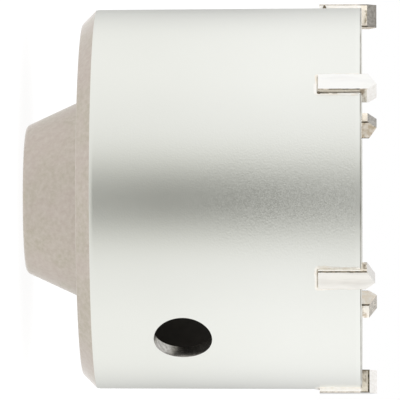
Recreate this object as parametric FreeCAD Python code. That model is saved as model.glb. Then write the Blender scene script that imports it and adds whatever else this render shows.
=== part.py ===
import FreeCAD, Part
import math
import os

V = FreeCAD.Vector
Z_AXIS = V(0, 0, 1)
ORIGIN = V(0, 0, 0)

# Overall sizes in mm: the centre of the hub face is the origin, the teeth point to +Z
cutting_d = 81.8
tip_proud_out = 0.9
tip_proud_in = 1.2
wall_t = 2.7
wall_taper = 0.25
body_length = 70.5

# Hub that screws on the arbor
hub_face_d = 30.6
hub_root_d = 41.7
hub_length = 12.0
hub_edge_round = 1.5
hub_root_fillet = 0.8

# Plate between the hub and the wall
plate_t = 7.0
rear_chamfer = 2.85
plate_corner_round = 0.8
rear_bevel = 0.4
floor_fillet = 2.5

# Arbor thread M16 x 2, cut right through hub and plate
thread_d = 16.0
thread_pitch = 2.0
thread_chamfer = 0.6

# Rim
rim_chamfer_out = 0.6
rim_chamfer_in = 0.3

# Round hole in the wall, for prising out the core
side_hole_d = 12.0
side_hole_z = 33.7
side_hole_deg = -90.0

# Carbide tips set in slots in the rim
tip_count = 6
first_tip_deg = 7.7
tip_w = 4.0
tip_above_rim = 3.1
slot_depth = 9.2
braze_gap = 0.15
ridge_lead = 0.6
lead_bevel_h = 1.95
trail_bevel_h = 1.7

# Braze beads along the flanks and the foot of each tip
bead_h = 0.45
bead_w = 0.8
bead_top_w = 0.12
bead_root = 0.6
fill_inset = 0.3

# Derived sizes
tip_outer_r = cutting_d / 2
body_r = tip_outer_r - tip_proud_out
body_rear_r = body_r - wall_taper
inner_r = body_r - wall_t
tip_inner_r = inner_r - tip_proud_in
tip_depth = tip_outer_r - tip_inner_r
floor_z = hub_length + plate_t
rim_z = body_length
minor_r = (thread_d - 1.0825 * thread_pitch) / 2
mouth_r = thread_d / 2 + thread_chamfer
slot_floor_z = rim_z - slot_depth
slot_w = tip_w + 2 * braze_gap
tip_foot_z = slot_floor_z + braze_gap
tip_top_z = rim_z + tip_above_rim


def rounded(before, corner, after, radius):
    # Start, middle and end of the arc that rounds one corner of the profile
    a = (before - corner).normalize()
    b = (after - corner).normalize()
    half = a.getAngle(b) / 2
    run = radius / math.tan(half)
    reach = radius / math.sin(half)
    middle = corner + (a + b).normalize() * (reach - radius)
    return corner + a * run, middle, corner + b * run


def profile_face(points):
    # Closed face from (r, z, rounding radius) corners in the XZ plane
    count = len(points)
    corners = [V(r, 0, z) for r, z, _ in points]
    arcs = []
    for i, (_, _, radius) in enumerate(points):
        corner = corners[i]
        if radius > 0:
            arcs.append(rounded(corners[i - 1], corner, corners[(i + 1) % count], radius))
        else:
            arcs.append((corner, corner, corner))
    edges = []
    for i, (start, middle, end) in enumerate(arcs):
        if points[i][2] > 0:
            edges.append(Part.Arc(start, middle, end).toShape())
        edges.append(Part.makeLine(end, arcs[(i + 1) % count][0]))
    return Part.Face(Part.Wire(edges))


def turned_body():
    # Hub, plate and wall as one turned forging
    bevel_r = body_rear_r - rear_bevel
    bevel_z = hub_length + rear_chamfer
    points = [
        (mouth_r, 0, 0),
        (hub_face_d / 2, 0, hub_edge_round),
        (hub_root_d / 2, hub_length, hub_root_fillet),
        (bevel_r - rear_chamfer, hub_length, plate_corner_round),
        (bevel_r, bevel_z, 0),
        (body_rear_r, bevel_z + rear_bevel, 0),
        (body_r, rim_z - rim_chamfer_out, 0),
        (body_r - rim_chamfer_out, rim_z, 0),
        (inner_r + rim_chamfer_in, rim_z, 0),
        (inner_r, rim_z - rim_chamfer_in, 0),
        (inner_r, floor_z, floor_fillet),
        (minor_r + thread_chamfer, floor_z, 0),
        (minor_r, floor_z - thread_chamfer, 0),
        (minor_r, mouth_r - minor_r, 0),
    ]
    return profile_face(points).revolve(ORIGIN, Z_AXIS, 360)


def tip_block():
    # Insert with a roof-shaped cutting end, lying along +X
    half = tip_w / 2
    corners = [
        (-half, tip_foot_z),
        (half, tip_foot_z),
        (half, tip_top_z - lead_bevel_h),
        (ridge_lead, tip_top_z),
        (-half, tip_top_z - trail_bevel_h),
    ]
    wire = Part.makePolygon([V(tip_inner_r, s, z) for s, z in corners + corners[:1]])
    return Part.Face(wire).extrude(V(tip_depth, 0, 0))


def slot_block():
    # Room for the insert and its braze gap, cut right through the wall
    length = wall_t + 4
    height = slot_depth + 1
    corner = V(inner_r - 2, -slot_w / 2, slot_floor_z)
    return Part.makeBox(length, slot_w, height, corner)


def bead_block(root_r, top_r):
    # Tapered collar of braze from inside the wall to its top edge beside the insert
    slope = (bead_w - bead_top_w) / bead_h
    wide = slot_w / 2 + bead_w + bead_root * slope
    narrow = slot_w / 2 + bead_top_w
    low = slot_floor_z - bead_w - bead_root * slope
    low_top = slot_floor_z - bead_top_w
    high = rim_z - rim_chamfer_out
    root = [V(root_r, -wide, low), V(root_r, wide, low), V(root_r, wide, high), V(root_r, -wide, high)]
    top = [
        V(top_r, -narrow, low_top),
        V(top_r, narrow, low_top),
        V(top_r, narrow, high),
        V(top_r, -narrow, high),
    ]
    wires = [Part.makePolygon(ring + ring[:1]) for ring in (root, top)]
    return Part.makeLoft(wires, True, True)


def seam_block(body, tip):
    # Braze in the slot and the beads outside and inside the wall
    fill_box = Part.makeBox(
        wall_t - 2 * fill_inset,
        slot_w,
        slot_depth - rim_chamfer_out,
        V(inner_r + fill_inset, -slot_w / 2, slot_floor_z),
    )
    outer = bead_block(body_r - bead_root, body_r + bead_h)
    inner = bead_block(inner_r + bead_root, inner_r - bead_h)
    return fill_box.fuse([outer, inner]).cut(body).cut(tip)


def turned(shape, degrees):
    copy = shape.copy()
    copy.rotate(ORIGIN, Z_AXIS, degrees)
    return copy


def build():
    tip_angles = [first_tip_deg + i * 360.0 / tip_count for i in range(tip_count)]
    body = turned_body()
    hole = Part.makeCylinder(side_hole_d / 2, body_r + 5, V(0, 0, side_hole_z), V(1, 0, 0))
    slots = [turned(slot_block(), angle) for angle in tip_angles]
    body = body.cut([turned(hole, side_hole_deg)] + slots)
    nodes = {"cup_body": body}
    tip = tip_block()
    seam = seam_block(turned(body, -first_tip_deg), tip)
    for i, angle in enumerate(tip_angles):
        nodes["carbide_tip_%d" % (i + 1)] = turned(tip, angle)
        nodes["braze_seam_%d" % (i + 1)] = turned(seam, angle)
    return nodes


def single_solid(shape):
    # The one solid inside the result of a cut
    solids = shape.Solids
    assert len(solids) == 1, "piece is not one solid"
    return solids[0]


os.makedirs("parts", exist_ok=True)
for name, shape in build().items():
    single_solid(shape).exportStep("parts/%s.step" % name)
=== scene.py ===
import math
from collections import namedtuple
import bmesh
import bpy
from mathutils import Matrix, Vector, noise


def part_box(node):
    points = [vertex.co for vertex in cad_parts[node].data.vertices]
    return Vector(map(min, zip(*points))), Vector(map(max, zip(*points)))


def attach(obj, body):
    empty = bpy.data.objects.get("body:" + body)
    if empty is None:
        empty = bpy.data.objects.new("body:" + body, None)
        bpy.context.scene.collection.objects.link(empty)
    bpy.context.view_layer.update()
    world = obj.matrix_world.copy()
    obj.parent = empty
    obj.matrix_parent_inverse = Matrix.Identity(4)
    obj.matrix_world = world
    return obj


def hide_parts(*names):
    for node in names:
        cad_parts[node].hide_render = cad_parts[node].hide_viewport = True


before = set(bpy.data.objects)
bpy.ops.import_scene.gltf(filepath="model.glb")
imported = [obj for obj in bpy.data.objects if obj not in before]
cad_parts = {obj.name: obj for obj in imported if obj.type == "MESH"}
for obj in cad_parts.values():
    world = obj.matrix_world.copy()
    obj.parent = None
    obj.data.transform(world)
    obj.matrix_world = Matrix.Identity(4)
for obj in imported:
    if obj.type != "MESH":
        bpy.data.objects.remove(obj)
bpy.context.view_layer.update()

# All shapes are worked out in millimetres and scaled to metres when they are finished
MM = 0.001

# Heights along the axis: hub face at 0, teeth at the top
hub_length = 12.0
floor_z = 19.0
rear_chamfer = 2.9
rear_corner_z = hub_length + rear_chamfer
shoulder_run = 0.65
wall_foot_z = rear_corner_z + shoulder_run
rim_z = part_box("cup_body")[1][2] / MM
tip_top_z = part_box("carbide_tip_1")[1][2] / MM

# Radii
body_r = 40.0
wall_taper = 0.25
wall_t = 2.7
inner_r = body_r - wall_t
body_rear_r = body_r - wall_taper
shoulder_step = 0.1
shoulder_r = body_rear_r - shoulder_step
plate_edge_r = shoulder_r - rear_chamfer
hub_face_r = 15.3
hub_root_r = 20.85

# Roundings and chamfers of the turned body, and the broken edges of its cuts
rim_round_out = 0.8
rim_chamfer_in = 0.3
hub_edge_round = 1.5
hub_root_fillet = 0.8
plate_corner_round = 0.8
shoulder_round = 0.3
wall_foot_round = 3.0
floor_fillet = 2.5
hole_edge_break = 0.07
slot_edge_break = 0.1

# Side hole, centred on the -Y side
side_hole_r = 6.0
side_hole_z = 33.7
side_hole_deg = -90.0

# Teeth
tip_count = 6
first_tip_deg = 7.7
tip_pitch_deg = 360.0 / tip_count
tip_w = 4.0
tip_outer_r = 40.9
tip_inner_r = 36.1
slot_depth = 9.2
slot_gap = 0.15
slot_w = tip_w + 2 * slot_gap
slot_floor_z = rim_z - slot_depth
foot_gap = 0.3
tip_foot_z = slot_floor_z + foot_gap
ridge_lead = 0.6
lead_bevel_h = 1.95
trail_bevel_h = 1.7
tip_edge_out = 0.09
tip_edge_in = 0.27
burnt_edge = 0.25

# Braze: the groove beside each insert, and the height over which a bead changes near rim and foot
bead_groove_w = 0.12
bead_fade_h = 1.6

# Arbor thread
thread_major_r = 8.0
thread_minor_r = 6.9175
thread_pitch = 2.0
thread_mouth_chamfer = 0.6
thread_end_chamfer = 0.3

# The body is divided round the axis in steps of one degree, from a seam between two teeth.
# The wall with its cuts and the turned base meet at JOIN_Z.
SEAM_DEG = round(first_tip_deg + tip_pitch_deg / 2)
STEPS = 360
JOIN_Z = 23.0


def wall_radius(z):
    # Outer radius of the slightly tapered wall
    share = (z - wall_foot_z) / (rim_z - rim_round_out - wall_foot_z)
    return body_rear_r + wall_taper * min(share, 1.0)


def outer_surface(z):
    # Outer radius with the rounding at the rim
    over = max(0.0, z - rim_z + rim_round_out)
    return wall_radius(z) - rim_round_out + math.sqrt(rim_round_out ** 2 - over ** 2)


def linear(code):
    # sRGB hex to linear RGBA
    parts = [int(code[i:i + 2], 16) / 255 for i in (1, 3, 5)]
    return tuple(c / 12.92 if c <= 0.04045 else ((c + 0.055) / 1.055) ** 2.4 for c in parts) + (1.0,)


def node(tree, kind, inputs=None, **settings):
    # Adds one node, with its settings and its values or links
    made = tree.nodes.new(kind)
    for name, value in settings.items():
        setattr(made, name, value)
    for key, value in (inputs or {}).items():
        if isinstance(value, bpy.types.NodeSocket):
            tree.links.new(value, made.inputs[key])
        else:
            made.inputs[key].default_value = value
    return made


def new_material(name):
    material = bpy.data.materials.new(name)
    material.use_nodes = True
    material.node_tree.nodes.clear()
    return material, material.node_tree


def per_mm(size_mm):
    # Noise scale that gives features of this size on Object coordinates in metres
    return 1.0 / (size_mm * MM)


def finish_surface(tree, shader):
    node(tree, "ShaderNodeOutputMaterial", {"Surface": shader.outputs["BSDF"]})


def satin_turned_steel():
    # Turned steel, blasted to satin: broad soft reflections with faint turning rings and a fine speckle,
    # coarser near the rim and duller towards both ends. The specks are drawn at 0.3 mm, as coarse as they
    # need to be to show.
    material, tree = new_material("satin_turned_steel")
    coords = node(tree, "ShaderNodeTexCoord").outputs["Object"]
    grain = node(tree, "ShaderNodeTexNoise", {"Vector": coords, "Scale": per_mm(0.36), "Detail": 2.0})
    ringed = node(tree, "ShaderNodeMapping", {"Vector": coords, "Scale": (0.04, 0.04, 1.0)})
    rings = node(tree, "ShaderNodeTexNoise", {"Vector": ringed.outputs["Vector"], "Scale": per_mm(0.5),
                                              "Detail": 2.0})
    relief = node(tree, "ShaderNodeMath", {0: rings.outputs["Fac"], 1: 0.35, 2: grain.outputs["Fac"]},
                  operation="MULTIPLY_ADD")
    clouds = node(tree, "ShaderNodeTexNoise", {"Vector": coords, "Scale": per_mm(9.0), "Detail": 2.0})
    height = node(tree, "ShaderNodeSeparateXYZ", {0: coords}).outputs["Z"]
    # The base colour is painted a little lighter towards the rim: painted light, where brighter
    # surroundings would light the wall more
    along = node(tree, "ShaderNodeMapRange", {"Value": height, "From Min": 0.4 * rim_z * MM,
                                              "From Max": 0.8 * rim_z * MM})
    painted_rim_light = node(tree, "ShaderNodeMix", {"Factor": along.outputs["Result"], "A": linear("#edeee8"),
                                         "B": linear("#f3f4ef")}, data_type="RGBA")
    share = node(tree, "ShaderNodeMapRange", {"Value": clouds.outputs["Fac"], "To Min": 0.0,
                                              "To Max": 0.03})
    base = node(tree, "ShaderNodeMix", {"Factor": share.outputs["Result"], "A": painted_rim_light.outputs["Result"],
                                        "B": linear("#a5a8a0")}, data_type="RGBA")
    off_middle = node(tree, "ShaderNodeMath", {0: height, 1: 0.53 * rim_z * MM}, operation="SUBTRACT")
    reach = node(tree, "ShaderNodeMath", {0: off_middle.outputs[0]}, operation="ABSOLUTE")
    dull = node(tree, "ShaderNodeMapRange", {"Value": reach.outputs[0], "From Min": 0.1 * rim_z * MM,
                                             "From Max": 0.47 * rim_z * MM, "To Min": 0.31,
                                             "To Max": 0.365})
    specks = node(tree, "ShaderNodeTexVoronoi", {"Vector": coords, "Scale": per_mm(0.3)})
    off_mean = node(tree, "ShaderNodeMath", {0: specks.outputs["Color"], 1: 0.5}, operation="SUBTRACT")
    gain = node(tree, "ShaderNodeMapRange", {"Value": height, "From Min": 0.5 * rim_z * MM,
                                             "From Max": 0.66 * rim_z * MM, "To Min": 0.03,
                                             "To Max": 0.085})
    speckled = node(tree, "ShaderNodeMath", {0: off_mean.outputs[0], 1: gain.outputs["Result"],
                                             2: dull.outputs["Result"]}, operation="MULTIPLY_ADD")
    rough = node(tree, "ShaderNodeMath", {0: speckled.outputs[0], 1: 0.285}, operation="MAXIMUM")
    coarse = node(tree, "ShaderNodeMapRange", {"Value": height, "From Min": 0.5 * rim_z * MM,
                                               "From Max": 0.66 * rim_z * MM, "To Min": 0.28,
                                               "To Max": 0.4})
    bump = node(tree, "ShaderNodeBump", {"Height": relief.outputs[0], "Strength": coarse.outputs["Result"],
                                         "Distance": 0.07 * MM})
    shader = node(tree, "ShaderNodeBsdfPrincipled", {"Base Color": base.outputs["Result"], "Metallic": 1.0,
                                                     "Roughness": rough.outputs[0],
                                                     "Normal": bump.outputs["Normal"]})
    finish_surface(tree, shader)
    return material


def rim_with_painted_reflection():
    # Rounded edge of the rim, with a thin grey line painted along it just below the rim: a painted dark
    # reflection
    material, tree = new_material("rim_painted_dark_reflection")
    coords = node(tree, "ShaderNodeTexCoord").outputs["Object"]
    height = node(tree, "ShaderNodeSeparateXYZ", {0: coords}).outputs["Z"]
    patches = node(tree, "ShaderNodeTexNoise", {"Vector": coords, "Scale": per_mm(5.0), "Detail": 2.0})
    shift = node(tree, "ShaderNodeMath", {0: height, 1: (rim_z - 0.2) * MM}, operation="SUBTRACT")
    away = node(tree, "ShaderNodeMath", {0: shift.outputs[0]}, operation="ABSOLUTE")
    line = node(tree, "ShaderNodeMapRange", {"Value": away.outputs[0], "From Min": 0.16 * MM,
                                             "From Max": 0.06 * MM})
    amount = node(tree, "ShaderNodeMapRange", {"Value": patches.outputs["Fac"], "From Min": 0.3,
                                               "From Max": 0.6, "To Min": 0.5, "To Max": 1.0})
    share = node(tree, "ShaderNodeMath", {0: line.outputs["Result"], 1: amount.outputs["Result"]},
                 operation="MULTIPLY")
    tint = node(tree, "ShaderNodeMix", {"Factor": share.outputs[0], "A": linear("#f4f5f0"),
                                        "B": linear("#a09c93")}, data_type="RGBA")
    bump = node(tree, "ShaderNodeBump", {"Height": patches.outputs["Fac"], "Strength": 0.2,
                                         "Distance": 0.1 * MM})
    shader = node(tree, "ShaderNodeBsdfPrincipled", {"Base Color": tint.outputs["Result"], "Metallic": 1.0,
                                                     "Roughness": 0.36, "Normal": bump.outputs["Normal"]})
    finish_surface(tree, shader)
    return material


def blasted_forging():
    # Forged steel, shot-blasted and left raw: warm dull grey with small pits and faint wide clouds,
    # and a trace of blasting dust that lightens it where it turns away
    material, tree = new_material("blasted_forging")
    coords = node(tree, "ShaderNodeTexCoord").outputs["Object"]
    pits = node(tree, "ShaderNodeTexNoise", {"Vector": coords, "Scale": per_mm(0.5), "Detail": 3.0})
    mottle = node(tree, "ShaderNodeTexNoise", {"Vector": coords, "Scale": per_mm(0.9), "Detail": 4.0,
                                               "Roughness": 0.6})
    share = node(tree, "ShaderNodeMapRange", {"Value": mottle.outputs["Fac"], "From Min": 0.3,
                                              "From Max": 0.7})
    clouds = node(tree, "ShaderNodeTexNoise", {"Vector": coords, "Scale": per_mm(7.0), "Detail": 2.0})
    hue = node(tree, "ShaderNodeMapRange", {"Value": clouds.outputs["Fac"], "From Min": 0.4,
                                            "From Max": 0.6})
    dark = node(tree, "ShaderNodeMix", {"Factor": hue.outputs["Result"], "A": linear("#c0b9aa"),
                                        "B": linear("#c6bbb2")}, data_type="RGBA")
    tint = node(tree, "ShaderNodeMix", {"Factor": share.outputs["Result"], "A": dark.outputs["Result"],
                                        "B": linear("#d0c8bf")}, data_type="RGBA")
    bump = node(tree, "ShaderNodeBump", {"Height": pits.outputs["Fac"], "Strength": 0.45,
                                         "Distance": 0.1 * MM})
    shader = node(tree, "ShaderNodeBsdfPrincipled", {"Base Color": tint.outputs["Result"], "Metallic": 1.0,
                                                     "Roughness": 0.58, "Normal": bump.outputs["Normal"],
                                                     "Sheen Weight": 0.7, "Sheen Roughness": 0.3})
    finish_surface(tree, shader)
    return material


def drilled_steel():
    # Wall of the side hole, as the drill left it: mid grey with coarse tool marks
    material, tree = new_material("drilled_steel")
    coords = node(tree, "ShaderNodeTexCoord").outputs["Object"]
    marks = node(tree, "ShaderNodeTexNoise", {"Vector": coords, "Scale": per_mm(0.9), "Detail": 3.0})
    tint = node(tree, "ShaderNodeMix", {"Factor": marks.outputs["Fac"], "A": linear("#777570"),
                                        "B": linear("#e2e0db")}, data_type="RGBA")
    bump = node(tree, "ShaderNodeBump", {"Height": marks.outputs["Fac"], "Strength": 0.3,
                                         "Distance": 0.08 * MM})
    shader = node(tree, "ShaderNodeBsdfPrincipled", {"Base Color": tint.outputs["Result"], "Metallic": 1.0,
                                                     "Roughness": 0.25, "Normal": bump.outputs["Normal"]})
    finish_surface(tree, shader)
    return material


def interior_painted_shade():
    # Inside of the cup: painted shade, dark deep inside and turning to light steel towards the mouth, where
    # light gets in
    material, tree = new_material("interior_painted_shade")
    coords = node(tree, "ShaderNodeTexCoord").outputs["Object"]
    flakes = node(tree, "ShaderNodeTexNoise", {"Vector": coords, "Scale": per_mm(2.5), "Detail": 5.0})
    painted_dark = node(tree, "ShaderNodeMix", {"Factor": flakes.outputs["Fac"], "A": linear("#2b2925"),
                                         "B": linear("#403d38")}, data_type="RGBA")
    height = node(tree, "ShaderNodeSeparateXYZ", {0: coords}).outputs["Z"]
    ragged = node(tree, "ShaderNodeMapRange", {"Value": flakes.outputs["Fac"], "To Min": -8 * MM,
                                               "To Max": 8 * MM})
    level = node(tree, "ShaderNodeMath", {0: height, 1: ragged.outputs["Result"]})
    lit_near_mouth = node(tree, "ShaderNodeMapRange", {"Value": level.outputs[0], "From Min": (rim_z - 28) * MM,
                                                "From Max": (rim_z - 10) * MM})
    tint = node(tree, "ShaderNodeMix", {"Factor": lit_near_mouth.outputs["Result"], "A": painted_dark.outputs["Result"],
                                        "B": linear("#e6e5df")}, data_type="RGBA")
    metal = node(tree, "ShaderNodeMapRange", {"Value": lit_near_mouth.outputs["Result"], "To Min": 0.3,
                                              "To Max": 1.0})
    bump = node(tree, "ShaderNodeBump", {"Height": flakes.outputs["Fac"], "Strength": 0.4,
                                         "Distance": 0.1 * MM})
    shader = node(tree, "ShaderNodeBsdfPrincipled", {"Base Color": tint.outputs["Result"],
                                                     "Metallic": metal.outputs["Result"], "Roughness": 0.5,
                                                     "Normal": bump.outputs["Normal"]})
    finish_surface(tree, shader)
    return material


def ground_carbide(name, dark, light):
    # Sintered tungsten carbide, diamond-ground: grey, mottled, with fine grinding lines
    material, tree = new_material(name)
    coords = node(tree, "ShaderNodeTexCoord").outputs["Object"]
    mottle = node(tree, "ShaderNodeTexNoise", {"Vector": coords, "Scale": per_mm(0.6), "Detail": 4.0,
                                               "Roughness": 0.65})
    share = node(tree, "ShaderNodeMapRange", {"Value": mottle.outputs["Fac"], "From Min": 0.35,
                                              "From Max": 0.65})
    tint = node(tree, "ShaderNodeMix", {"Factor": share.outputs["Result"], "A": linear(dark),
                                        "B": linear(light)}, data_type="RGBA")
    bump = node(tree, "ShaderNodeBump", {"Height": mottle.outputs["Fac"], "Strength": 0.2,
                                         "Distance": 0.04 * MM})
    shader = node(tree, "ShaderNodeBsdfPrincipled", {"Base Color": tint.outputs["Result"], "Metallic": 1.0,
                                                     "Roughness": 0.4, "Normal": bump.outputs["Normal"]})
    finish_surface(tree, shader)
    return material


def belted_face(name, wear, dark, light):
    # Outer faces of the inserts, skimmed with silver solder and belted bright along the axis
    material, tree = new_material(name)
    coords = node(tree, "ShaderNodeTexCoord").outputs["Object"]
    drawn = node(tree, "ShaderNodeMapping", {"Vector": coords, "Scale": (1.0, 1.0, 0.2)})
    streaks = node(tree, "ShaderNodeTexNoise", {"Vector": drawn.outputs["Vector"], "Scale": per_mm(0.8),
                                                "Detail": 3.0})
    worn = node(tree, "ShaderNodeTexNoise", {"Vector": drawn.outputs["Vector"], "Scale": per_mm(1.6),
                                             "Detail": 2.0})
    tint = node(tree, "ShaderNodeMix", {"Factor": streaks.outputs["Fac"], "A": linear(dark),
                                        "B": linear(light)}, data_type="RGBA")
    share = node(tree, "ShaderNodeMapRange", {"Value": worn.outputs["Fac"], "From Min": 0.5,
                                              "From Max": 0.75, "To Min": 0.0, "To Max": wear})
    dulled = node(tree, "ShaderNodeMix", {"Factor": share.outputs["Result"], "A": tint.outputs["Result"],
                                          "B": linear("#a8a297")}, data_type="RGBA")
    bump = node(tree, "ShaderNodeBump", {"Height": streaks.outputs["Fac"], "Strength": 0.3,
                                         "Distance": 0.06 * MM})
    shader = node(tree, "ShaderNodeBsdfPrincipled", {"Base Color": dulled.outputs["Result"],
                                                     "Metallic": 1.0, "Roughness": 0.33,
                                                     "Normal": bump.outputs["Normal"]})
    finish_surface(tree, shader)
    return material


def filmed_flank(name, bare, stain_z, stain="#8c7f6c", film_dark="#f3efe6", film_light="#fffefc"):
    # Flanks of the inserts: cream film of flux and solder in the slot, barer beyond the rim, with stains
    material, tree = new_material(name)
    coords = node(tree, "ShaderNodeTexCoord").outputs["Object"]
    streaks = node(tree, "ShaderNodeTexNoise", {"Vector": coords, "Scale": per_mm(0.8), "Detail": 3.0})
    height = node(tree, "ShaderNodeSeparateXYZ", {0: coords}).outputs["Z"]
    beyond = node(tree, "ShaderNodeMapRange", {"Value": height, "From Min": (rim_z - 0.4) * MM,
                                               "From Max": rim_z * MM})
    film = node(tree, "ShaderNodeMix", {"Factor": streaks.outputs["Fac"], "A": linear(film_dark),
                                        "B": linear(film_light)}, data_type="RGBA")
    tint = node(tree, "ShaderNodeMix", {"Factor": streaks.outputs["Fac"], "A": linear(bare),
                                        "B": linear("#f8f1e4")}, data_type="RGBA")
    both = node(tree, "ShaderNodeMix", {"Factor": beyond.outputs["Result"], "A": film.outputs["Result"],
                                        "B": tint.outputs["Result"]}, data_type="RGBA")
    off_stain = node(tree, "ShaderNodeMath", {0: height, 1: stain_z * MM}, operation="SUBTRACT")
    distance = node(tree, "ShaderNodeMath", {0: off_stain.outputs[0]}, operation="ABSOLUTE")
    band = node(tree, "ShaderNodeMapRange", {"Value": distance.outputs[0], "From Min": 0.8 * MM,
                                             "From Max": 0.3 * MM})
    blots = node(tree, "ShaderNodeTexNoise", {"Vector": coords, "Scale": per_mm(1.6), "Detail": 4.0})
    patch = node(tree, "ShaderNodeMapRange", {"Value": blots.outputs["Fac"], "From Min": 0.42,
                                              "From Max": 0.54})
    share = node(tree, "ShaderNodeMath", {0: band.outputs["Result"], 1: patch.outputs["Result"]},
                 operation="MULTIPLY")
    stained = node(tree, "ShaderNodeMix", {"Factor": share.outputs[0], "A": both.outputs["Result"],
                                           "B": linear(stain)}, data_type="RGBA")
    bump = node(tree, "ShaderNodeBump", {"Height": streaks.outputs["Fac"], "Strength": 0.3,
                                         "Distance": 0.05 * MM})
    shader = node(tree, "ShaderNodeBsdfPrincipled", {"Base Color": stained.outputs["Result"],
                                                     "Metallic": 0.1, "Roughness": 0.5,
                                                     "Normal": bump.outputs["Normal"]})
    finish_surface(tree, shader)
    return material


def baked_solder(name, dark, light):
    # Solder that pooled and discoloured on the insert's inner face: beige and mottled
    material, tree = new_material(name)
    coords = node(tree, "ShaderNodeTexCoord").outputs["Object"]
    blots = node(tree, "ShaderNodeTexNoise", {"Vector": coords, "Scale": per_mm(1.1), "Detail": 4.0})
    spread = node(tree, "ShaderNodeMapRange", {"Value": blots.outputs["Fac"], "From Min": 0.36,
                                               "From Max": 0.62})
    tint = node(tree, "ShaderNodeMix", {"Factor": spread.outputs["Result"], "A": linear(dark),
                                        "B": linear(light)}, data_type="RGBA")
    bump = node(tree, "ShaderNodeBump", {"Height": blots.outputs["Fac"], "Strength": 0.5,
                                         "Distance": 0.15 * MM})
    shader = node(tree, "ShaderNodeBsdfPrincipled", {"Base Color": tint.outputs["Result"], "Metallic": 0.1,
                                                     "Roughness": 0.5, "Normal": bump.outputs["Normal"]})
    finish_surface(tree, shader)
    return material


def silver_solder(name, light, dark, metal):
    # Silver solder run round the insert: cream metal, tan in the dips
    material, tree = new_material(name)
    coords = node(tree, "ShaderNodeTexCoord").outputs["Object"]
    stain = node(tree, "ShaderNodeTexNoise", {"Vector": coords, "Scale": per_mm(1.5), "Detail": 3.0})
    ripple = node(tree, "ShaderNodeTexNoise", {"Vector": coords, "Scale": per_mm(0.6), "Detail": 3.0})
    share = node(tree, "ShaderNodeMapRange", {"Value": stain.outputs["Fac"], "From Min": 0.45,
                                              "From Max": 0.7})
    tint = node(tree, "ShaderNodeMix", {"Factor": share.outputs["Result"], "A": linear(light),
                                        "B": linear(dark)}, data_type="RGBA")
    bump = node(tree, "ShaderNodeBump", {"Height": ripple.outputs["Fac"], "Strength": 0.25,
                                         "Distance": 0.08 * MM})
    shader = node(tree, "ShaderNodeBsdfPrincipled", {"Base Color": tint.outputs["Result"],
                                                     "Metallic": metal, "Roughness": 0.4,
                                                     "Normal": bump.outputs["Normal"]})
    finish_surface(tree, shader)
    return material


def baked_flux(name, dark, light):
    # Brazing flux baked into the corners of the joint: dull brown, thin where it is lighter
    material, tree = new_material(name)
    coords = node(tree, "ShaderNodeTexCoord").outputs["Object"]
    crust = node(tree, "ShaderNodeTexNoise", {"Vector": coords, "Scale": per_mm(0.6), "Detail": 3.0})
    share = node(tree, "ShaderNodeMapRange", {"Value": crust.outputs["Fac"], "From Min": 0.35,
                                              "From Max": 0.65})
    tint = node(tree, "ShaderNodeMix", {"Factor": share.outputs["Result"], "A": linear(dark),
                                        "B": linear(light)}, data_type="RGBA")
    bump = node(tree, "ShaderNodeBump", {"Height": crust.outputs["Fac"], "Strength": 0.4,
                                         "Distance": 0.05 * MM})
    shader = node(tree, "ShaderNodeBsdfPrincipled", {"Base Color": tint.outputs["Result"], "Metallic": 0.2,
                                                     "Roughness": 0.65, "Normal": bump.outputs["Normal"]})
    finish_surface(tree, shader)
    return material


STEEL = satin_turned_steel()
FORGING = blasted_forging()
DRILLED = drilled_steel()
INTERIOR_SHADE = interior_painted_shade()
# One carbide in four greys, insert by insert, to match how bright each ground end shows: painted light and
# shade, near white on three inserts and darker on the other three
LIGHT_CARBIDE = ground_carbide("ground_carbide_light", "#eeebe6", "#fbf9f6")
WARM_CARBIDE = ground_carbide("ground_carbide_warm", "#aba69c", "#e6e0d6")
GREY_CARBIDE = ground_carbide("ground_carbide_grey", "#96928c", "#cbc7c0")
DULL_CARBIDE = ground_carbide("ground_carbide_dull", "#86827c", "#aaa69f")
CLEAN_FACE = belted_face("belted_face_clean", 0.15, "#fbfaf5", "#ffffff")
WORN_FACE = belted_face("belted_face_worn", 0.3, "#f7f4ec", "#fdfbf7")
CREAM_FLANK = filmed_flank("flank_cream", "#ecdfcc", rim_z + 0.3)
PALE_FLANK = filmed_flank("flank_pale", "#fbf6ef", rim_z + 0.4, stain="#c9bba8")
# The fourth insert's flanks are painted grey: painted shade for a flank that faces away from the light
SHADED_FLANK = filmed_flank("flank_painted_shade", "#a3a298", rim_z + 0.2, film_dark="#b3ab9c", film_light="#e6dfd2")
BROWN_FLANK = filmed_flank("flank_brown", "#e0d5c2", rim_z + 0.8)
CLEAR_FLANK = filmed_flank("flank_clear", "#ecdfcc", rim_z - 4.0)
STREAKED_FLANK = filmed_flank("flank_streaked", "#ece2d2", rim_z + 1.1, stain="#a3977f")
OLIVE_FLANK = filmed_flank("flank_olive", "#b9b09b", rim_z + 0.3)
BAKED = baked_solder("baked_solder", "#d1c0a5", "#fbf3e6")
PALE_BAKED = baked_solder("baked_solder_pale", "#f5e8d4", "#fff9ee")
SOLDER = silver_solder("silver_solder", "#fffdf8", "#f8efe0", 1.0)
TAN_SOLDER = silver_solder("silver_solder_tan", "#faf7f0", "#f3ecdf", 0.75)
DARK_FLUX = baked_flux("dark_flux", "#3a3226", "#857a66")
THIN_FLUX = baked_flux("thin_flux", "#9c9183", "#d2c8b8")
RIM_WITH_PAINTED_LINE = rim_with_painted_reflection()


def around_z(degrees):
    return Matrix.Rotation(math.radians(degrees), 4, "Z")


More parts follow.
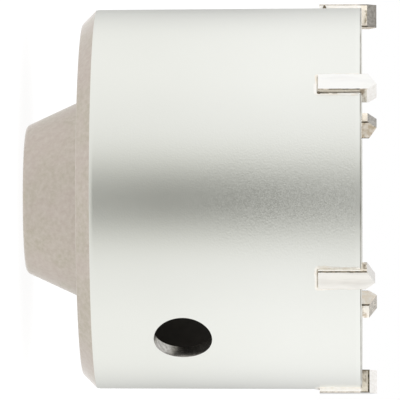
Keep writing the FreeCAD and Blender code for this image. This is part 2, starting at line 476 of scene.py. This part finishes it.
def make_piece(name, bm, materials, sharp_deg=28.0):
    # Scales the shape to metres and makes it an object at the origin
    bmesh.ops.scale(bm, vec=(MM, MM, MM), verts=bm.verts)
    mesh = bpy.data.meshes.new(name)
    bm.to_mesh(mesh)
    bm.free()
    for material in materials:
        mesh.materials.append(material)
    mesh.shade_smooth()
    mesh.set_sharp_from_angle(angle=math.radians(sharp_deg))
    piece = bpy.data.objects.new(name, mesh)
    bpy.context.scene.collection.objects.link(piece)
    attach(piece, "root")
    return piece


def temp_object(bm):
    mesh = bpy.data.meshes.new("temp")
    bm.to_mesh(mesh)
    bm.free()
    made = bpy.data.objects.new("temp", mesh)
    bpy.context.scene.collection.objects.link(made)
    return made


def carved(bm, cutters):
    # The shape with the cutters taken away from it
    target = temp_object(bm)
    tools = [temp_object(cutter) for cutter in cutters]
    for tool in tools:
        cut = target.modifiers.new("cut", "BOOLEAN")
        cut.operation = "DIFFERENCE"
        cut.solver = "EXACT"
        cut.object = tool
    depsgraph = bpy.context.evaluated_depsgraph_get()
    result = bmesh.new()
    result.from_object(target, depsgraph)
    for made in [target] + tools:
        mesh = made.data
        bpy.data.objects.remove(made)
        bpy.data.meshes.remove(mesh)
    return result


def box_shape(low, high):
    bm = bmesh.new()
    bmesh.ops.create_cube(bm, size=1.0)
    size = [b - a for a, b in zip(low, high)]
    middle = [(a + b) / 2 for a, b in zip(low, high)]
    bmesh.ops.scale(bm, vec=size, verts=bm.verts)
    bmesh.ops.translate(bm, vec=middle, verts=bm.verts)
    return bm


def chamfer(bm, edges, width, segments=2):
    bmesh.ops.bevel(bm, geom=edges, offset=width, offset_type="OFFSET", segments=segments,
                    profile=0.5, affect="EDGES", material=-1, clamp_overlap=True)


def near(a, b):
    return abs(a - b) < 1e-3


def arc_points(before, corner, after, radius, count=6):
    # Points of the arc that rounds one corner of a profile in the (r, z) plane
    a = (before - corner).normalized()
    b = (after - corner).normalized()
    half = a.angle(b) / 2
    centre = corner + (a + b).normalized() * (radius / math.sin(half))
    start = corner + a * (radius / math.tan(half)) - centre
    end = corner + b * (radius / math.tan(half)) - centre
    return [centre + start.slerp(end, i / count) * radius for i in range(count + 1)]


def rounded_profile(corners):
    # Polyline through (r, z, rounding radius) corners
    points = [Vector((r, z)) for r, z, _ in corners]
    line = []
    for i, (_, _, radius) in enumerate(corners):
        if radius:
            line += arc_points(points[i - 1], points[i], points[i + 1], radius)
        else:
            line.append(points[i])
    return line


def arc_length(degrees):
    # Place along the unrolled wall, from the seam, at the outer radius
    return math.radians((degrees - SEAM_DEG) % 360.0) * body_r


def flat_sheet(girth):
    # One column of faces for every degree, and rows that keep the hole and the slots apart
    bm = bmesh.new()
    bmesh.ops.create_grid(bm, x_segments=STEPS, y_segments=1, size=1.0)
    bmesh.ops.scale(bm, vec=(girth / 2, (rim_z - JOIN_Z) / 2, 1), verts=bm.verts)
    bmesh.ops.rotate(bm, matrix=Matrix.Rotation(math.pi / 2, 3, "X"), verts=bm.verts)
    bmesh.ops.translate(bm, vec=(girth / 2, 0, (rim_z + JOIN_Z) / 2), verts=bm.verts)
    grown = bmesh.ops.extrude_face_region(bm, geom=bm.faces[:])
    moved = [part for part in grown["geom"] if isinstance(part, bmesh.types.BMVert)]
    bmesh.ops.translate(bm, vec=(0, wall_t, 0), verts=moved)
    bmesh.ops.recalc_face_normals(bm, faces=bm.faces)
    hole_clear, slot_clear, rim_clear = 1.5, 1.2, 0.4
    rows = (side_hole_z - side_hole_r - hole_clear, side_hole_z + side_hole_r + hole_clear,
            slot_floor_z - slot_clear, rim_z - rim_round_out - rim_clear)
    for height in rows:
        geom = bm.verts[:] + bm.edges[:] + bm.faces[:]
        bmesh.ops.bisect_plane(bm, geom=geom, dist=1e-4, plane_co=(0, 0, height), plane_no=(0, 0, 1))
    return bm


def unrolled_wall():
    # The wall laid flat: X round the body, Y from outside to inside, Z along the axis
    girth = 2 * math.pi * body_r
    sheet = flat_sheet(girth)
    cutters = []
    for i in range(tip_count):
        middle = arc_length(first_tip_deg + i * tip_pitch_deg)
        low = (middle - slot_w / 2, -1, slot_floor_z)
        cutters.append(box_shape(low, (middle + slot_w / 2, wall_t + 1, rim_z + 1)))
    drill = bmesh.new()
    bmesh.ops.create_cone(drill, cap_ends=True, segments=128, radius1=side_hole_r, radius2=side_hole_r,
                          depth=wall_t + 2)
    bmesh.ops.rotate(drill, matrix=Matrix.Rotation(math.pi / 2, 3, "X"), verts=drill.verts)
    bmesh.ops.translate(drill, vec=(arc_length(side_hole_deg), wall_t / 2, side_hole_z), verts=drill.verts)
    cutters.append(drill)
    return carved(sheet, cutters), girth


def edge_ends(edge):
    return [vert.co for vert in edge.verts]


def wall_edges(bm, test):
    return [edge for edge in bm.edges if all(test(co) for co in edge_ends(edge))]


def break_wall_edges(bm, girth):
    # Deburred hole and slots, the rim rounded outside and chamfered inside
    hole_x = arc_length(side_hole_deg)

    def on_face(co):
        return near(co.y, 0) or near(co.y, wall_t)

    def on_hole(co):
        return on_face(co) and abs(math.hypot(co.x - hole_x, co.z - side_hole_z) - side_hole_r) < 0.02

    chamfer(bm, wall_edges(bm, on_hole), hole_edge_break)
    ends = (0.0, girth)
    slot_edges = []
    for edge in bm.edges:
        a, b = edge_ends(edge)
        inside = not any(near(a.x, end) and near(b.x, end) for end in ends)
        upright = near(a.x, b.x) and near(a.y, b.y) and on_face(a) and inside
        foot = near(a.z, slot_floor_z) and near(b.z, slot_floor_z) and near(a.y, b.y) and on_face(a)
        if upright or foot:
            slot_edges.append(edge)
    chamfer(bm, slot_edges, slot_edge_break)
    chamfer(bm, wall_edges(bm, lambda co: near(co.z, rim_z) and near(co.y, 0)), rim_round_out, segments=7)
    chamfer(bm, wall_edges(bm, lambda co: near(co.z, rim_z) and near(co.y, wall_t)), rim_chamfer_in)


def wrapped_wall():
    # The flat wall rolled round the axis
    bm, girth = unrolled_wall()
    break_wall_edges(bm, girth)
    gone = [face for face in bm.faces
            if all(near(v.co.z, JOIN_Z) for v in face.verts)
            or all(near(v.co.x, 0) for v in face.verts)
            or all(near(v.co.x, girth) for v in face.verts)]
    bmesh.ops.delete(bm, geom=gone, context="FACES")
    bmesh.ops.triangulate(bm, faces=[face for face in bm.faces if len(face.verts) > 4])
    for vert in bm.verts:
        x, depth, z = vert.co
        angle = math.radians(SEAM_DEG) + x / body_r
        radius = wall_radius(z) + (inner_r - wall_radius(z)) * depth / wall_t
        vert.co = (radius * math.cos(angle), radius * math.sin(angle), z)
    return bm


def turned_base(bm):
    # Hub, plate and the foot of the wall, spun from one profile
    mouth_r = thread_major_r + thread_mouth_chamfer
    corners = [
        (inner_r, JOIN_Z, 0),
        (inner_r, floor_z, floor_fillet),
        (thread_major_r + thread_end_chamfer, floor_z, 0),
        (thread_major_r, floor_z - thread_end_chamfer, 0),
        (thread_major_r, mouth_r - thread_major_r, 0),
        (mouth_r, 0, 0),
        (hub_face_r, 0, hub_edge_round),
        (hub_root_r, hub_length, hub_root_fillet),
        (plate_edge_r, hub_length, plate_corner_round),
        (shoulder_r, rear_corner_z, shoulder_round),
        (body_rear_r, wall_foot_z, wall_foot_round),
        (wall_radius(JOIN_Z), JOIN_Z, 0),
    ]
    seam = around_z(SEAM_DEG)
    verts = [bm.verts.new(seam @ Vector((r, 0, z))) for r, z in rounded_profile(corners)]
    edges = [bm.edges.new(pair) for pair in zip(verts, verts[1:])]
    bmesh.ops.spin(bm, geom=verts + edges, cent=(0, 0, 0), axis=(0, 0, 1), dvec=(0, 0, 0),
                   angle=2 * math.pi, steps=STEPS, use_merge=True, use_duplicate=False)


def in_side_hole(co):
    # Whether a point lies on the wall of the side hole or on its broken edges
    ahead, across, _ = around_z(-side_hole_deg) @ co
    return ahead > 0 and math.hypot(across, co.z - side_hole_z) < side_hole_r + 0.02


def body_finish(face):
    # Index of the finish: 0 turned outside, 1 blasted forging, 2 inside with painted shade, 3 drilled hole,
    # 4 rim with a painted dark reflection
    middle = face.calc_center_median()
    radius = math.hypot(middle.x, middle.y)
    if middle.z > JOIN_Z and in_side_hole(middle):
        return 3
    if radius < thread_major_r + 0.01:
        return 2
    if floor_z - 0.01 < middle.z < rim_z - rim_chamfer_in - 0.05 and radius < inner_r + 0.05:
        return 2
    if middle.z > rim_z - rim_round_out + 0.01 and radius > inner_r + 0.5:
        return 4
    if middle.z > rear_corner_z + 0.05:
        return 0
    return 1


def shade_as_cone(mesh):
    # Faces of the turned wall get the true cone's normals, so that the cuts in it leave no shading marks
    normals = []
    for face in mesh.polygons:
        spots = [mesh.vertices[index].co / MM for index in face.vertices]
        on_wall = all(wall_foot_z + 0.2 < co.z < rim_z - rim_round_out + 0.01
                      and abs(math.hypot(co.x, co.y) - wall_radius(co.z)) < 0.004 for co in spots)
        normals += [Vector((co.x, co.y, 0)).normalized() if on_wall else Vector() for co in spots]
    mesh.normals_split_custom_set(normals)


def cup_body():
    bm = wrapped_wall()
    turned_base(bm)
    bmesh.ops.remove_doubles(bm, verts=bm.verts, dist=0.004)
    bmesh.ops.recalc_face_normals(bm, faces=bm.faces)
    for face in bm.faces:
        face.material_index = body_finish(face)
    piece = make_piece("cup", bm, [STEEL, FORGING, INTERIOR_SHADE, DRILLED, RIM_WITH_PAINTED_LINE])
    shade_as_cone(piece.data)
    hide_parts("cup_body")


def arbor_thread():
    # Helical ridge of the M16 thread, rooted in the hub's bore
    bm = bmesh.new()
    root_r = thread_major_r + 0.1
    crest = thread_pitch / 8
    half_root = crest + (root_r - thread_minor_r) * math.tan(math.radians(30))
    steps_per_turn = 96
    turns = math.ceil(floor_z / thread_pitch) + 1
    corners = [(root_r, -half_root), (thread_minor_r, -crest), (thread_minor_r, crest), (root_r, half_root)]
    verts = [bm.verts.new((r, 0, z - thread_pitch / 2)) for r, z in corners]
    ridge = bm.faces.new(verts)
    bmesh.ops.spin(bm, geom=verts + ridge.edges[:] + [ridge], cent=(0, 0, 0), axis=(0, 0, 1),
                   dvec=(0, 0, thread_pitch / steps_per_turn), angle=2 * math.pi * turns,
                   steps=steps_per_turn * turns, use_merge=False, use_duplicate=False)
    for height, normal in ((0.35, (0, 0, -1)), (floor_z - 0.25, (0, 0, 1))):
        geom = bm.verts[:] + bm.edges[:] + bm.faces[:]
        cut = bmesh.ops.bisect_plane(bm, geom=geom, dist=1e-4, plane_co=(0, 0, height), plane_no=normal,
                                     clear_outer=True)
        loop = [part for part in cut["geom_cut"] if isinstance(part, bmesh.types.BMEdge)]
        bmesh.ops.edgeloop_fill(bm, edges=loop)
    bmesh.ops.recalc_face_normals(bm, faces=bm.faces)
    make_piece("arbor_thread", bm, [FORGING])


def tip_finish(face, tooth):
    # Index of the finish: 0 outer face, 1 ground end, 2 dark flux, 3 inner face, 4 flank, 5 thin flux.
    # The one steep facet at the end is the burnt shoulder.
    normal = face.normal
    middle = face.calc_center_median()
    if normal.z > 0.3:
        return 2 if abs(normal.y) > 0.85 else 1
    if normal.x < -0.95:
        return 3
    if abs(normal.y) > 0.95:
        return 4
    if abs(normal.x) > 0.3 and abs(normal.y) > 0.3:
        fluxed = normal.y * tooth.edge_side > 0 and tooth.edge_from < middle.z < tooth.edge_to
        return 2 if fluxed or normal.x < 0 else 5
    return 0


def carbide_tip(number, degrees, tooth):
    # Insert with a roof-shaped ground end; the chamfers of its long edges are coloured brown, dark along
    # the inner one
    bm = bmesh.new()
    half = tip_w / 2
    top_z = tip_top_z - tooth.worn
    corners = [
        (-half, tip_foot_z),
        (half, tip_foot_z),
        (half, top_z - lead_bevel_h),
        (ridge_lead, top_z),
        (-half, top_z - trail_bevel_h),
    ]
    verts = [bm.verts.new((tip_inner_r, s, z)) for s, z in corners]
    base = bm.faces.new(verts)
    grown = bmesh.ops.extrude_face_region(bm, geom=[base])
    moved = [part for part in grown["geom"] if isinstance(part, bmesh.types.BMVert)]
    bmesh.ops.translate(bm, vec=(tip_outer_r - tip_inner_r, 0, 0), verts=moved)
    if tooth.burnt_shoulder:
        shoulder = wall_edges(bm, lambda co: near(co.y, -half) and near(co.z, top_z - trail_bevel_h))
        chamfer(bm, shoulder, burnt_edge, segments=1)
    long_sides = ((tip_outer_r, 1, tip_edge_out), (tip_outer_r, -1, tip_edge_out),
                  (tip_inner_r, 0, tip_edge_in))
    for radius, side, width in long_sides:
        if side and side == tooth.edge_side:
            width = tooth.edge_w
        beside = wall_edges(bm, lambda co: near(abs(co.y), half) and near(co.x, radius))
        long_edges = [edge for edge in beside
                      if near(edge.verts[0].co.y, edge.verts[1].co.y) and edge.verts[0].co.y * side >= 0]
        chamfer(bm, long_edges, width, segments=1)
    rows = 24
    for i in range(1, rows):
        height = tip_foot_z + (rim_z - tip_foot_z) * i / rows
        geom = bm.verts[:] + bm.edges[:] + bm.faces[:]
        bmesh.ops.bisect_plane(bm, geom=geom, dist=1e-4, plane_co=(0, 0, height), plane_no=(0, 0, 1))
    for vert in bm.verts:
        on_edge = near(vert.co.x, tip_outer_r) and 0.5 < abs(vert.co.y) < half - 0.01
        if on_edge and tip_foot_z + 0.1 < vert.co.z < rim_z:
            wave = noise.noise(Vector((0, math.copysign(3, vert.co.y), vert.co.z * 0.8 + degrees)))
            vert.co.y += 0.5 * wave * (half - abs(vert.co.y))
    bmesh.ops.recalc_face_normals(bm, faces=bm.faces)
    bm.normal_update()
    for face in bm.faces:
        face.material_index = tip_finish(face, tooth)
    bmesh.ops.rotate(bm, matrix=around_z(degrees), verts=bm.verts)
    finishes = [tooth.face, tooth.end, DARK_FLUX, tooth.inner, tooth.flank, THIN_FLUX]
    piece = make_piece("tip_%d" % number, bm, finishes, sharp_deg=20.0)
    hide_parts("carbide_tip_%d" % number)


def bead_height(away, reach, from_rim):
    # Height of the braze over the wall: a groove against the insert, a low crest, then a thin film
    climb = max(0.0, 1 - from_rim / bead_fade_h)
    crest = bead_groove_w + 0.14
    depth = 0.14 - 0.3 * climb
    crest_h = 0.1 + 0.25 * climb
    if away < bead_groove_w:
        return -depth
    if away < crest:
        return -depth + (crest_h + depth) * (away - bead_groove_w) / (crest - bead_groove_w)
    fall = min(1.0, (away - crest) / (reach - crest))
    edge = max(0.0, away - reach)
    return crest_h * (1 - fall) ** 2 + 0.04 - 0.5 * edge


def beside_tip(s, z):
    # Distance from the insert's outline, below zero inside it
    across = abs(s) - tip_w / 2
    below = tip_foot_z - z
    return math.hypot(max(across, 0), max(below, 0)) + min(max(across, below), 0)


def braze_bead(bm, degrees, side, tooth):
    # One collar of braze round the insert: side 1 is outside the wall, -1 inside
    margin = 1.2
    cell = 0.1
    tucked_under = 0.2
    thin_flux_w = 0.13
    crust_r = 0.38
    crust_sink = 0.15
    root_depth = 1.1
    half_x = tip_w / 2 + margin
    low = tip_foot_z - margin
    high = rim_z - 0.05
    columns = round(2 * half_x / cell)
    rows = round((high - low) / cell)
    grid = bmesh.new()
    bmesh.ops.create_grid(grid, x_segments=columns, y_segments=rows, size=1.0)
    bmesh.ops.scale(grid, vec=(half_x, (high - low) / 2, 1), verts=grid.verts)
    bmesh.ops.translate(grid, vec=(0, (high + low) / 2, 0), verts=grid.verts)
    crust = Vector((tooth.crust_side * (tip_w / 2 + bead_groove_w), tip_foot_z + tooth.crust_rise))
    under = []
    for face in grid.faces:
        middle = face.calc_center_median()
        away = beside_tip(middle.x, middle.y)
        if away < -tucked_under:
            under.append(face)
            continue
        # Flux fills the groove: thin as a rule, dark along one flank, and piled up as a crust
        wave = noise.noise(Vector((middle.x, middle.y * 0.6, degrees)))
        stretch = noise.noise(Vector((middle.x * 0.2, middle.y * 0.35, degrees + 3)))
        foot = max(0.0, 1 - (middle.y - tip_foot_z) / bead_fade_h)
        dark = middle.x * tooth.groove_side > 0 and middle.y > tip_foot_z
        if dark and away < tooth.groove_w + 0.12 * wave + 0.1 * foot:
            face.material_index = 1 if stretch + foot > tooth.groove_break else 2
        elif away < thin_flux_w and (tooth.groove_side or middle.y < tip_foot_z):
            face.material_index = 2
        if tooth.crust_side and (middle.xy - crust).length < crust_r + 0.1 * wave:
            face.material_index = 1
    bmesh.ops.delete(grid, geom=under, context="FACES")
    grown = bmesh.ops.extrude_face_region(grid, geom=grid.faces[:])
    top = {part for part in grown["geom"] if isinstance(part, bmesh.types.BMVert)}
    for vert in grid.verts:
        s, z, _ = vert.co
        if vert in top:
            spot = Vector((s * 0.7, z * 0.5, degrees + 7 * side))
            wobble = noise.noise(spot) + 0.3 * noise.noise(spot * 3)
            drift = noise.noise(Vector((math.copysign(3, s), z * 0.12, degrees)))
            reach = tooth.bead_reach + 0.12 * wobble + 0.3 * drift
            height = bead_height(beside_tip(s, z), reach, rim_z - z)
            height += 0.03 * noise.noise(spot * 4)
            if tooth.crust_side:
                off_crust = min(1.0, (vert.co.xy - crust).length / crust_r)
                lump = (tooth.crust_h + crust_sink) * math.sqrt(1 - off_crust ** 2) - crust_sink
                height = max(height, lump)
        else:
            height = -root_depth
        surface = math.sqrt((outer_surface(z) if side > 0 else inner_r) ** 2 - s * s)
        vert.co = (surface + side * height, s, z)
    bmesh.ops.recalc_face_normals(grid, faces=grid.faces)
    bmesh.ops.rotate(grid, matrix=around_z(degrees), verts=grid.verts)
    mesh = bpy.data.meshes.new("temp")
    grid.to_mesh(mesh)
    grid.free()
    bm.from_mesh(mesh)
    bpy.data.meshes.remove(mesh)


def braze_seam(number, degrees, tooth):
    bm = bmesh.new()
    braze_bead(bm, degrees, 1, tooth)
    braze_bead(bm, degrees, -1, tooth)
    finishes = [tooth.solder, DARK_FLUX, THIN_FLUX]
    piece = make_piece("braze_%d" % number, bm, finishes, sharp_deg=60.0)
    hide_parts("braze_seam_%d" % number)


# What grinding, brazing and use left on one insert. Side 1 trails when the bit cuts and side -1 leads.
Tooth = namedtuple("Tooth", [
    "face", "end", "inner", "flank", "solder",
    "edge_side", "edge_w", "edge_from", "edge_to",
    "bead_reach", "groove_side", "groove_w", "groove_break",
    "crust_side", "crust_rise", "crust_h",
    "worn", "burnt_shoulder",
])
PLAIN_TOOTH = Tooth(
    face=CLEAN_FACE, end=LIGHT_CARBIDE, inner=BAKED, flank=CREAM_FLANK, solder=SOLDER,
    edge_side=0, edge_w=0.24, edge_from=rim_z - 0.3, edge_to=tip_top_z,
    bead_reach=0.75, groove_side=1, groove_w=0.27, groove_break=-0.15,
    crust_side=1, crust_rise=0.15, crust_h=0.3,
    worn=0.0, burnt_shoulder=False,
)
TEETH = [
    PLAIN_TOOTH._replace(end=WARM_CARBIDE, inner=PALE_BAKED, flank=PALE_FLANK),
    PLAIN_TOOTH._replace(end=GREY_CARBIDE, flank=CLEAR_FLANK, groove_side=-1, crust_side=-1),
    PLAIN_TOOTH._replace(end=DULL_CARBIDE, flank=STREAKED_FLANK, edge_side=1, groove_side=-1,
                         groove_break=2.0, crust_rise=1.1, crust_h=0.8),
    PLAIN_TOOTH._replace(flank=SHADED_FLANK, edge_side=1, edge_w=0.15, edge_from=tip_foot_z + 2.4,
                         edge_to=rim_z + 0.4, groove_w=0.34, groove_break=-2.0),
    PLAIN_TOOTH._replace(face=WORN_FACE, flank=BROWN_FLANK, solder=TAN_SOLDER, edge_side=-1, edge_from=0.0,
                         bead_reach=0.5, groove_side=0, crust_side=0, worn=0.35),
    PLAIN_TOOTH._replace(flank=OLIVE_FLANK, edge_side=-1, burnt_shoulder=True),
]

cup_body()
arbor_thread()
for index, tooth in enumerate(TEETH):
    tip_deg = first_tip_deg + index * tip_pitch_deg
    carbide_tip(index + 1, tip_deg, tooth)
    braze_seam(index + 1, tip_deg, tooth)

# Camera: beside the body at rim height, rolled so that the axis lies across the picture
VIEW_DEG = -136.36
CAMERA_DISTANCE = 1309.3
CAMERA_Z = rim_z + 3.18
CAMERA_UP = -0.21
PAN_DEG = 1.627
ROLL_DEG = 0.11
LENS_MM = 561.2
SENSOR_MM = 36.0


def photo_axes():
    # To the viewer, and the picture's up direction
    to_viewer = around_z(VIEW_DEG).to_3x3() @ Vector((1, 0, 0))
    return to_viewer, to_viewer.cross(Vector((0, 0, 1)))


def place_camera():
    to_viewer, up = photo_axes()
    right = Vector((0, 0, 1))
    pan = Matrix.Rotation(math.radians(PAN_DEG), 3, up)
    back = pan @ to_viewer
    side = pan @ right
    roll = Matrix.Rotation(math.radians(-ROLL_DEG), 3, back)
    side = roll @ side
    top = roll @ up
    camera_data = bpy.data.cameras.new("camera")
    camera_data.lens = LENS_MM
    camera_data.sensor_width = SENSOR_MM
    camera_data.clip_start = 0.01
    camera_data.clip_end = 50.0
    camera = bpy.data.objects.new("camera", camera_data)
    place = to_viewer * CAMERA_DISTANCE + up * CAMERA_UP + right * CAMERA_Z
    turn = Matrix((side, top, back)).transposed().to_4x4()
    camera.matrix_world = Matrix.Translation(place * MM) @ turn
    bpy.context.scene.collection.objects.link(camera)
    bpy.context.scene.camera = camera


# Brightness of the studio tent by the angle from the photographer, in degrees
TENT = [(0, 0.1), (10, 0.2), (20, 0.57), (30, 0.83), (40, 0.9), (55, 0.92), (75, 0.98),
        (95, 0.98), (120, 0.97), (145, 0.75), (165, 0.46), (180, 0.5)]


def studio_world():
    # White tent round the object, dimmer and a little warmer where the photographer stands,
    # and dimmer behind the object
    world = bpy.data.worlds.new("studio")
    bpy.context.scene.world = world
    world.use_nodes = True
    tree = world.node_tree
    tree.nodes.clear()
    to_viewer, _ = photo_axes()
    direction = node(tree, "ShaderNodeTexCoord").outputs["Generated"]
    facing = node(tree, "ShaderNodeVectorMath", {0: direction, 1: to_viewer}, operation="DOT_PRODUCT")
    angle = node(tree, "ShaderNodeMath", {0: facing.outputs["Value"]}, operation="ARCCOSINE")
    turn = node(tree, "ShaderNodeMath", {0: angle.outputs[0], 1: math.pi}, operation="DIVIDE")
    ramp = node(tree, "ShaderNodeValToRGB", {"Fac": turn.outputs[0]})
    elements = ramp.color_ramp.elements
    while len(elements) < len(TENT):
        elements.new(1.0)
    for element, (degrees, level) in zip(elements, TENT):
        element.position = degrees / 180
        warm = 1.0 - 0.1 * max(0.0, 1.0 - degrees / 40)
        element.color = (level, level, level * warm, 1.0)
    soft = node(tree, "ShaderNodeBackground", {"Color": (1, 1, 1, 1), "Strength": 1.3})
    tent = node(tree, "ShaderNodeBackground", {"Color": ramp.outputs["Color"], "Strength": 1.0})
    white = node(tree, "ShaderNodeBackground", {"Color": (1, 1, 1, 1), "Strength": 1.0})
    path = node(tree, "ShaderNodeLightPath").outputs
    in_metal = node(tree, "ShaderNodeMath", {0: path["Is Glossy Ray"], 1: path["Is Transmission Ray"]})
    mirrored = node(tree, "ShaderNodeMixShader", {0: in_metal.outputs[0], 1: soft.outputs["Background"],
                                                  2: tent.outputs["Background"]})
    mix = node(tree, "ShaderNodeMixShader", {0: path["Is Camera Ray"], 1: mirrored.outputs["Shader"],
                                             2: white.outputs["Background"]})
    node(tree, "ShaderNodeOutputWorld", {"Surface": mix.outputs["Shader"]})


def pale_floor():
    # White glass table, seen by the camera with the object's shadow; metal sees the tent below it
    floor_r = 6000.0
    paint_share = 0.16
    bm = bmesh.new()
    bmesh.ops.create_circle(bm, cap_ends=True, segments=96, radius=floor_r)
    bmesh.ops.scale(bm, vec=(MM, MM, MM), verts=bm.verts)
    mesh = bpy.data.meshes.new("floor")
    bm.to_mesh(mesh)
    bm.free()
    floor = bpy.data.objects.new("floor", mesh)
    bpy.context.scene.collection.objects.link(floor)
    material, tree = new_material("white_floor")
    paint = node(tree, "ShaderNodeBsdfDiffuse", {"Color": linear("#f2f2f2")})
    glow = node(tree, "ShaderNodeEmission", {"Color": (1, 1, 1, 1), "Strength": 1.06})
    both = node(tree, "ShaderNodeMixShader", {0: paint_share, 1: glow.outputs["Emission"],
                                              2: paint.outputs["BSDF"]})
    node(tree, "ShaderNodeOutputMaterial", {"Surface": both.outputs["Shader"]})
    mesh.materials.append(material)
    floor.visible_glossy = False
    floor.visible_transmission = False
    floor.visible_diffuse = False
    floor.visible_shadow = False


place_camera()
studio_world()
pale_floor()
bpy.context.scene.view_settings.view_transform = "Standard"
